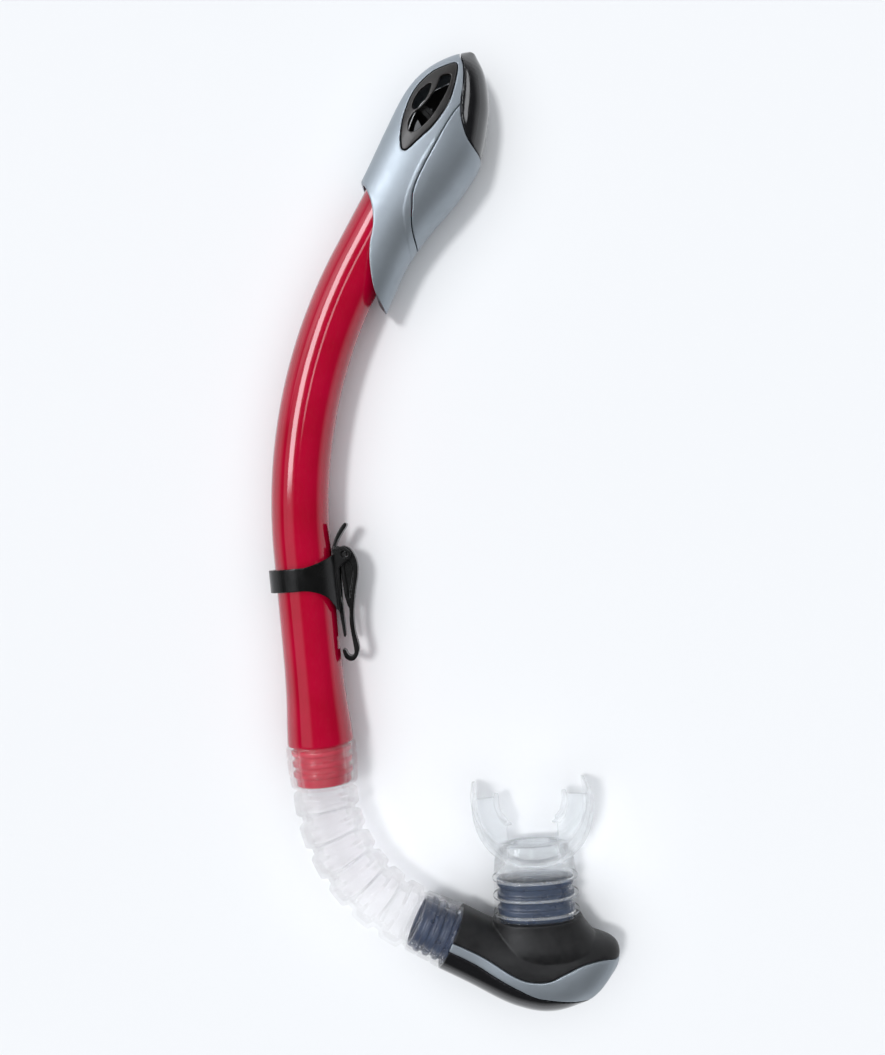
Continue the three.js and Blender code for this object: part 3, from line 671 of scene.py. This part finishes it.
def lip_shield():
    """A band bent round the arch, its height falling away towards its tips."""
    outer = arch(ARCH_WIDTH, ARCH_WIDTH)
    inner = arch(ARCH_WIDTH - SHIELD_WALL, ARCH_WIDTH - SHIELD_WALL)
    outline = np.vstack([[(outer[0][0] * 0.96, SHIELD_TIP)], outer, [(outer[-1][0] * 0.96, SHIELD_TIP)],
                         [(inner[-1][0] * 0.97, SHIELD_TIP)], inner[::-1],
                         [(inner[0][0] * 0.97, SHIELD_TIP)]])
    band = prism(MOUTH, outline, -SHIELD_HALF, SHIELD_HALF)
    across = smooth_line([(-34, 0), (-32, 7), (-24, 13), (-10, 15.4), (0, 15.0), (10, 15.4), (24, 13),
                          (32, 7), (34, 0), (32, -7), (24, -13), (10, -15.4), (0, -15.0), (-10, -15.4),
                          (-24, -13), (-32, -7)], 6, loop=True)
    front = [MOUTH.place(np.column_stack([across[:, 0], np.full(len(across), y), across[:, 1]]))
             for y in (20, 70)]
    return keep(band, loft("front", front))


def mouthpiece():
    """Lip shield, bite wings with their nibs, and the neck with its beads and bore."""
    outer = arch(ARCH_WIDTH - 1.2, ARCH_WIDTH - 1.2)
    bite = arch(15.2, 14.2)
    wings = np.vstack([[(outer[0][0], 55.4)], outer, [(outer[-1][0], 55.4)],
                       [(bite[-1][0], 56.4)], bite[::-1], [(bite[0][0], 56.4)]])
    nibs = []
    for side in (-1, 1):
        line = [(side * x, y) for x, y in ((15.0, 57.0), (17.0, 57.4), (17.4, 52), (15.4, 46.5),
                                          (12.6, 43.4), (11.0, 44.6), (13.6, 47.6), (15.0, 52))]
        nibs.append(prism(MOUTH, line, -NIB_HALF, NIB_HALF))
    neck = oval_bar(along_mouth([oval(0, 19.9, 13.2), oval(2, 19.9, 13.2), oval(NECK - 9, 19.5, 12.9),
                                 oval(NECK - 3, 18.9, 12.2), oval(NECK + 2, 18, 11),
                                 oval(NECK + 7, 15, 8.6)]))
    bore = oval_bar(along_mouth([oval(-2, 18.3, 11.6), oval(NECK - 8, 18.3, 11.6),
                                 oval(NECK - 5, 16.4, 9.4), oval(NECK, 12.8, 6.8),
                                 oval(NECK + 16, 11.8, 6.2)]))
    beads = [oval_bar([oval(y - 0.6, 19.6, 12.9), oval(y - 0.3, 20.15, 13.45),
                       oval(y + 0.3, 20.15, 13.45), oval(y + 0.6, 19.6, 12.9)]) for y in NECK_BEADS]
    body = join(lip_shield(), prism(MOUTH, wings, -WING_HALF, WING_HALF), *nibs, neck, *beads)
    return moulded(cut(body, bore), 0.34, 5, 0.4)


# ---------------------------------------------------------------- mask keeper
KEEPER_BORE = 13.9
KEEPER_RADIUS = 16.4
PIN_HOLE = 1.4
STRAP_HALF = 3.8  # half the width of the strap's gap
LEVER_HALF = 3.5
DISH_FLOOR = 2.7


def keeper_bar(name, radius, low, high):
    """A round bar on the keeper's axis, which is the barrel's centre line there."""
    return round_bar(name, [(KEEPER.moved(0, y), radius) for y in (low, high)])


def pin_hole():
    x, y = KEEPER_PIN
    circle = [x + PIN_HOLE * np.cos(CIRCLE), y + PIN_HOLE * np.sin(CIRCLE)]
    return loft("hole", [KEEPER.place(np.column_stack([*circle, np.full(SIDES, z)])) for z in (-20, 20)])


def keeper_ring():
    """The band round the barrel, with its saddle, pin blocks, prong and thumb tab."""
    band = keeper_bar("band", KEEPER_RADIUS, -4.2, 6.3)
    reach = keeper_bar("reach", KEEPER_RADIUS, -20, 14)
    saddle_line = smooth_line([(-4, 6.2), (1.5, 6.3), (6.2, 7.3), (10, 8.6), (13.5, 10.2), (17, 12.5)])
    saddle_foot = smooth_line([(17, -19), (14.8, -15.1), (11.7, -9.3), (9, -6.9), (6.1, -5.5),
                               (2, -4.4), (-4, -4.1)])
    saddle = keep(reach, prism(KEEPER, np.vstack([saddle_line, saddle_foot])))
    blocks = prism(KEEPER, [(13, 5.2), (14.6, 9.6), (14.3, 13.6), (16.4, 14.4), (19.9, 14.3), (22.9, 11.6),
                            (22.6, 8.6), (19.8, 6.9), (17, 4.6), (16.6, -5), (16.4, -11), (15.6, -15),
                            (13.2, -9.8), (13, -5.2)], -6, 6)
    prong = prism(KEEPER, [(14.3, -9), (16.2, -9.4), (16.66, -12), (17, -27.2), (16.5, -28),
                           (15.8, -27.6)], -3, 3)
    tab_line = [(15.6, 12), (16.2, 15.0), (17.9, 18.2), (20.4, 21.6), (22.1, 23.9), (21.9, 25.1),
                (20.8, 25.0), (18.7, 22.6), (16.4, 19.0), (14.9, 15.4), (14.2, 12)]
    tab = prism(KEEPER, smooth_line(tab_line, 5, loop=True), -4.5, 4.5)
    ring = join(band, saddle, blocks)
    ring = cut(ring, block(KEEPER, 15.7, FAR, -30, 15.6, -STRAP_HALF, STRAP_HALF))
    ring = cut(join(ring, prong, tab), keeper_bar("clear", KEEPER_BORE, -40, 40))
    return moulded(cut(ring, pin_hole()), 0.25, 4)


LEVER = smooth_line([(17.4, 12.9), (18.4, 14.2), (19.9, 14.6), (23, 12.5), (25.2, 7), (25, 0.6),
                     (23.3, -6.3), (21.9, -13.7), (21.3, -19.3), (21.4, -26.4), (22.5, -33),
                     (21.6, -36.8), (19.8, -39), (17.6, -39.2), (15.4, -37.4), (14.7, -33.6),
                     (16.1, -34.1), (17.2, -36.3), (18.6, -37), (20, -35.7), (20, -32.5),
                     (19.4, -26), (19.2, -20.6), (19.6, -15.4), (18.8, -12.4),
                     (18, -8.2), (17.6, 0), (17.4, 7.6)], 4, loop=True)


def keeper_lever():
    """The hooked lever, with a shallow dish in each side."""
    lever = prism(KEEPER, LEVER, -LEVER_HALF, LEVER_HALF)
    inner = smooth_line([(19.4, 6.6), (21.6, 7.4), (23, 4), (22.8, -0.4), (21.4, -5.6), (20.4, -9.6),
                         (19.8, -9), (19.6, -4), (19.2, 1)], 6, loop=True)
    dishes = [prism(KEEPER, inner, DISH_FLOOR, 9), prism(KEEPER, inner, -9, -DISH_FLOOR)]
    return moulded(cut(lever, pin_hole(), *dishes), 0.25, 4)


# ---------------------------------------------------------------- materials
NOISE_LOW, NOISE_HIGH = 0.3, 0.7  # most of a noise texture's values lie between these


class Finish:
    """A procedural material being built; its shader's uniform values go in with set()."""

    def __init__(self, name):
        self.material = bpy.data.materials.new(name)
        self.material.use_nodes = True
        self.tree = self.material.node_tree
        self.shader = self.tree.nodes["Principled BSDF"]
        self.place = self.add("ShaderNodeTexCoord").outputs["Object"]

    def add(self, kind, inputs=None, **settings):
        made = self.tree.nodes.new(kind)
        for key, value in settings.items():
            setattr(made, key, value)
        for key, value in (inputs or {}).items():
            self.feed(made.inputs[key], value)
        return made

    def feed(self, socket, value):
        if isinstance(value, bpy.types.NodeSocket):
            self.tree.links.new(value, socket)
        else:
            socket.default_value = value

    def set(self, **values):
        for key, value in values.items():
            self.feed(self.shader.inputs[key.replace("_", " ")], value)
        return self

    def noise(self, scale, detail):
        made = self.add("ShaderNodeTexNoise", {"Vector": self.place, "Scale": scale, "Detail": detail})
        return made.outputs["Fac"]

    def between(self, value, low, high):
        """Maps a texture's value on to low..high, as one number."""
        made = self.add("ShaderNodeMapRange", {"Value": value, "From Min": NOISE_LOW,
                                               "From Max": NOISE_HIGH, "To Min": low, "To Max": high})
        return made.outputs["Result"]

    def blend(self, value, first, last, start=NOISE_LOW, end=NOISE_HIGH):
        """Runs from one colour to another along a texture's value."""
        made = self.add("ShaderNodeValToRGB", {"Fac": value})
        for stop, at, colour in zip(made.color_ramp.elements, (start, end), (first, last)):
            stop.position = at
            stop.color = (*colour, 1)
        return made.outputs["Color"]

    def bump(self, value, height, strength, under=None):
        """Raises the surface by a height in millimetres where the texture is high."""
        inputs = {"Height": value, "Distance": height * MM, "Strength": strength}
        if under:
            inputs["Normal"] = under
        return self.add("ShaderNodeBump", inputs).outputs["Normal"]


def crimson_plastic():
    made = Finish("crimson_plastic")
    clouds = made.noise(55, 2)
    haze = made.noise(420, 4)
    ripple = made.noise(110, 1)
    made.set(Base_Color=made.blend(clouds, (0.37, 0.0, 0.019), (0.43, 0.0, 0.028)),
             Roughness=made.between(haze, 0.05, 0.11), IOR=1.5, Coat_Weight=0.2, Coat_Roughness=0.03,
             Normal=made.bump(ripple, 0.03, 0.5))
    return made.material


def silver_paint():
    made = Finish("silver_paint")
    flake = made.noise(5200, 2)
    drift = made.noise(30, 3)
    wear = made.noise(300, 5)
    made.set(Base_Color=made.blend(drift, (0.315, 0.355, 0.393), (0.35, 0.39, 0.43)), Metallic=0.82,
             Roughness=made.between(wear, 0.48, 0.56), Coat_Weight=0.1, Coat_Roughness=0.3,
             Normal=made.bump(flake, 0.008, 0.3))
    return made.material


def gloss_black():
    made = Finish("gloss_black")
    haze = made.noise(260, 5)
    dust = made.noise(2600, 2)
    ripple = made.noise(70, 1)
    made.set(Base_Color=made.blend(dust, (0.006, 0.006, 0.007), (0.03, 0.03, 0.03), 0.62, 0.8),
             Roughness=made.between(haze, 0.05, 0.14), Coat_Weight=0.5, Coat_Roughness=0.03,
             Normal=made.bump(ripple, 0.14, 0.6))
    return made.material


def soft_black():
    made = Finish("soft_black")
    mottle = made.noise(330, 6)
    grain = made.noise(1900, 3)
    made.set(Base_Color=made.blend(mottle, (0.003, 0.003, 0.0035), (0.009, 0.009, 0.0095)),
             Roughness=made.between(mottle, 0.44, 0.58), Specular_IOR_Level=0.34,
             Sheen_Weight=0.03, Sheen_Roughness=0.5,
             Normal=made.bump(grain, 0.03, 0.4, made.bump(mottle, 0.05, 0.3)))
    return made.material


def matt_black(name, smooth, rough):
    made = Finish(name)
    grain = made.noise(2300, 4)
    drift = made.noise(90, 3)
    made.set(Base_Color=made.blend(drift, (0.003, 0.003, 0.003), (0.007, 0.007, 0.007)),
             Roughness=made.between(drift, smooth, rough), Specular_IOR_Level=0.3,
             Normal=made.bump(grain, 0.03, 0.5))
    return made.material


def bezel_grey():
    made = Finish("bezel_grey")
    grain = made.noise(1600, 4)
    drift = made.noise(120, 3)
    made.set(Base_Color=made.blend(drift, (0.014, 0.0125, 0.012), (0.024, 0.022, 0.021)), Metallic=0.1,
             Roughness=made.between(grain, 0.3, 0.42), Normal=made.bump(grain, 0.02, 0.4))
    return made.material


def navy_plastic():
    made = Finish("navy_plastic")
    drift = made.noise(160, 3)
    grain = made.noise(1500, 3)
    made.set(Base_Color=made.blend(drift, (0.004, 0.014, 0.042), (0.008, 0.024, 0.062)),
             Roughness=made.between(drift, 0.24, 0.36), Coat_Weight=0.2, Coat_Roughness=0.1,
             Normal=made.bump(grain, 0.012, 0.4))
    return made.material


def silicone(name, colour, axes, opacity, passed, bending):
    """Milky silicone; opacity lists (y in the axes, alpha), as thick and thin places differ; narrow
    near-opaque bands paint in light lines.
    """
    made = Finish(name)
    height = made.add("ShaderNodeVectorMath", {0: made.place, 1: axes.up}, operation="DOT_PRODUCT")
    foot = float(axes.origin @ axes.up)
    low, high = opacity[0][0] * MM, opacity[-1][0] * MM
    along = made.add("ShaderNodeMapRange", {"Value": height.outputs["Value"], "From Min": foot + low,
                                            "From Max": foot + high})
    ramp = made.add("ShaderNodeValToRGB", {"Fac": along.outputs["Result"]})
    stops = ramp.color_ramp.elements
    while len(stops) < len(opacity):
        stops.new(0.5)
    for stop, (at, alpha) in zip(stops, opacity):
        stop.position = (at * MM - low) / (high - low)
        stop.color = (alpha, alpha, alpha, 1)
    clouds = made.noise(95, 4)
    skin = made.noise(900, 3)
    made.set(Base_Color=made.blend(clouds, colour, tuple(min(1, c * 1.04) for c in colour)),
             Alpha=ramp.outputs["Color"], Transmission_Weight=passed, IOR=bending,
             Roughness=made.between(skin, 0.02, 0.07),
             Normal=made.bump(clouds, 0.1, 0.25, made.bump(skin, 0.01, 0.3)))
    return made.material


def floor_white():
    made = Finish("floor_white")
    drift = made.noise(3, 2)
    made.set(Base_Color=made.blend(drift, (0.80, 0.815, 0.84), (0.805, 0.82, 0.845)), Roughness=0.9,
             Specular_IOR_Level=0.0)
    return made.material


CRIMSON = crimson_plastic()
SILVER = silver_paint()
GLOSS = gloss_black()
SOFT = soft_black()
MATT = matt_black("matt_black", smooth=0.2, rough=0.32)
# flat black for the parts inside the dry top: painted shade, standing for the shadow inside the closed
# housing
INNER_SHADE_BLACK = matt_black("inner_painted_shade", smooth=0.6, rough=0.75)
BEZEL = bezel_grey()
NAVY = navy_plastic()
HOSE_OPACITY = [(-178, 0.14), (-166, 0.36), (-127, 0.38), (-122, 0.22)]  # lower cuff, folds, upper cuff
HOSE_CLEAR = silicone("hose_silicone", (0.89, 0.87, 0.885), ROW, HOSE_OPACITY, passed=0.88, bending=1.33)
NECK_OPACITY = [(-3, 0.08)]
# nearly opaque milky bands on the beads: a painted highlight, standing for the light lines the beads catch
for bead in NECK_BEADS:
    NECK_OPACITY += [(bead - 0.45, 0.08), (bead - 0.25, 0.85), (bead + 0.25, 0.85), (bead + 0.45, 0.08)]
NECK_OPACITY += [(NECK - 7, 0.24), (NECK - 4, 0.46), (NECK + 3, 0.6), (NECK + 30, 0.6)]
MOUTH_CLEAR = silicone("mouth_silicone", (0.89, 0.915, 0.935), MOUTH, NECK_OPACITY, passed=0.74, bending=1.38)
SEAL_CLEAR = silicone("seal_silicone", (0.7, 0.72, 0.74), ROW, [(-220, 0.9), (-160, 0.9)],
                      passed=0.1, bending=1.41)

# ---------------------------------------------------------------- the snorkel
finish(barrel(), "barrel_tube", CRIMSON, "tube", "barrel", slot="crimson_tube")

front, rear, cap, bezels = dry_top_shells()
finish(front, "dry_top_front_shell", SILVER, "tube", "dry_top_cover", slot="silver_shell")
finish(rear, "dry_top_rear_shell", SILVER, "tube", "dry_top_rear_cover", slot="silver_shell")
finish(cap, "dry_top_gloss_cap", GLOSS, "tube", "dry_top_cap", slot="gloss_black")
finish(bezels[0], "window_frame_front", BEZEL, "tube", "window_bezel_front", slot="bezel_grey")
finish(bezels[1], "window_frame_back", BEZEL, "tube", "window_bezel_back", slot="bezel_grey")

cover, trim, keel = chamber_shells()
finish(cover, "chamber_soft_cover", SOFT, "chamber", "chamber_cover", slot="soft_black")
finish(trim, "chamber_silver_trim", SILVER, "chamber", "chamber_trim", slot="silver_shell")
finish(keel, "chamber_keel", GLOSS, "chamber", "purge_cover", slot="gloss_black")
finish(chamber_body(), "chamber_inner_body", NAVY, "chamber", "chamber_body", slot="navy_plastic")
finish(mouthpiece(), "bite_mouthpiece", MOUTH_CLEAR, "chamber", "mouthpiece", slot="clear_silicone")

finish(keeper_ring(), "keeper_band", MATT, "keeper", "keeper_ring", slot="matt_black")
finish(keeper_lever(), "keeper_flap", MATT, "keeper_lever", "keeper_lever", slot="matt_black")

ridged_hose = hose()
ridged_hose.name = "ridged_hose"
ridged_hose.data.materials.append(HOSE_CLEAR)
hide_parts("flex_hose")
hose_axes(2).point(0, 0)
hose_axes(HOSE_LENGTH - 2).point(0, 0)
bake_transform(ridged_hose)

# the dry top's inner parts and the keeper pin in its hole get the painted-shade black, for the shade they sit
# in
INNER = ("dry_top_base", "valve_seat", "arm_pin", "valve_arm", "valve_seal", "float", "keeper_pin")
kept_nodes = {node: INNER_SHADE_BLACK for node in INNER}
kept_nodes |= {"purge_valve_seat": NAVY, "purge_valve": SEAL_CLEAR}
for node, material in kept_nodes.items():
    obj = frame["nodes"][node]
    if obj.material_slots:
        for place in obj.material_slots:
            place.material = material
    else:
        obj.data.materials.append(material)

# ---------------------------------------------------------------- floor, light and camera
FLOOR_SIZE = 8.0
FLOOR_GAP = 0.0002
bpy.ops.mesh.primitive_plane_add(size=FLOOR_SIZE, location=(0, 0, -FLOOR_GAP))
floor = bpy.context.object
floor.name = "floor"
floor.data.materials.append(floor_white())


HORIZON = 0.02  # the lowest height of a direction that reaches the ceiling
PANELS = [  # x/z from and to, y/z from and to, soft edge, brightness
    (-0.95, -0.52, 0.10, 1.1, 0.07, 9.0),  # the bright window along the barrel
    (-1.7, -0.55, -0.5, 1.2, 0.30, 0.65),
    (-2.6, -0.3, 0.9, 3.6, 0.40, 1.15),
    (-0.08, -0.01, 0.1, 1.1, 0.03, 4.0),  # a thin line beside it
    (0.98, 1.3, 0.6, 2.9, 0.07, 3.5),  # the edge of the cap
]


def studio():
    """Ceiling panels in a dim room, which show in the object's shine and light nothing."""
    world = bpy.data.worlds.new("studio")
    world.use_nodes = True
    tree = world.node_tree
    tree.nodes.clear()

    def node(kind, *inputs, **settings):
        made = tree.nodes.new(kind)
        for key, value in settings.items():
            setattr(made, key, value)
        for socket, value in zip(made.inputs, inputs):
            if isinstance(value, bpy.types.NodeSocket):
                tree.links.new(value, socket)
            elif value is not None:
                socket.default_value = value
        return made.outputs[0]

    def calc(how, *inputs):
        return node("ShaderNodeMath", *inputs, operation=how)

    def window(value, low, high, soft):
        """1 between low and high, falling to 0 over a soft edge."""
        rise = node("ShaderNodeMapRange", value, low - soft, low, 0.0, 1.0,
                    interpolation_type="SMOOTHSTEP")
        fall = node("ShaderNodeMapRange", value, high, high + soft, 1.0, 0.0,
                    interpolation_type="SMOOTHSTEP")
        return calc("MULTIPLY", rise, fall)

    where = tree.nodes.new("ShaderNodeTexCoord").outputs["Generated"]
    split = tree.nodes.new("ShaderNodeSeparateXYZ")
    tree.links.new(where, split.inputs[0])
    x, y, z = split.outputs
    up = calc("MAXIMUM", z, HORIZON)
    u, v = calc("DIVIDE", x, up), calc("DIVIDE", y, up)
    total = node("ShaderNodeMapRange", z, HORIZON, 0.35, 0.75, 0.07, interpolation_type="SMOOTHSTEP")
    for u0, u1, v0, v1, soft, light in PANELS:
        shape = calc("MULTIPLY", window(u, u0, u1, soft), window(v, v0, v1, soft))
        total = calc("ADD", total, calc("MULTIPLY", shape, light))
    shine = tree.nodes.new("ShaderNodeBackground")
    shine.inputs["Color"].default_value = (0.965, 0.985, 1.02, 1)
    tree.links.new(total, shine.inputs["Strength"])
    output = tree.nodes.new("ShaderNodeOutputWorld")
    tree.links.new(shine.outputs[0], output.inputs["Surface"])
    world.cycles_visibility.diffuse = False
    bpy.context.scene.world = world


studio()


def lamp(name, energy, width, tilt_x, tilt_y, colour):
    """A distant soft lamp that lights the object without showing in its shine."""
    made = bpy.data.objects.new(name, bpy.data.lights.new(name, "SUN"))
    made.data.energy = energy
    made.data.angle = rad(width)
    made.data.color = colour
    made.rotation_euler = (rad(tilt_x), rad(tilt_y), 0)
    made.visible_glossy = False
    bpy.context.scene.collection.objects.link(made)


lamp("key_light", energy=1.36, width=9, tilt_x=-6, tilt_y=-17, colour=(1.0, 0.995, 0.985))
lamp("dome_light", energy=2.40, width=100, tilt_x=0, tilt_y=-3, colour=(0.97, 0.985, 1.0))

CAMERA_HEIGHT = 0.5  # above the middle plane
camera = bpy.data.objects.new("camera", bpy.data.cameras.new("camera"))
camera.data.sensor_fit = "VERTICAL"
camera.data.sensor_height = 24
camera.data.lens = 24.2
camera.location = (-0.0008, 0.0009, LOW.origin[2] + CAMERA_HEIGHT)
bpy.context.scene.collection.objects.link(camera)
bpy.context.scene.camera = camera
bpy.context.scene.view_settings.view_transform = "Standard"
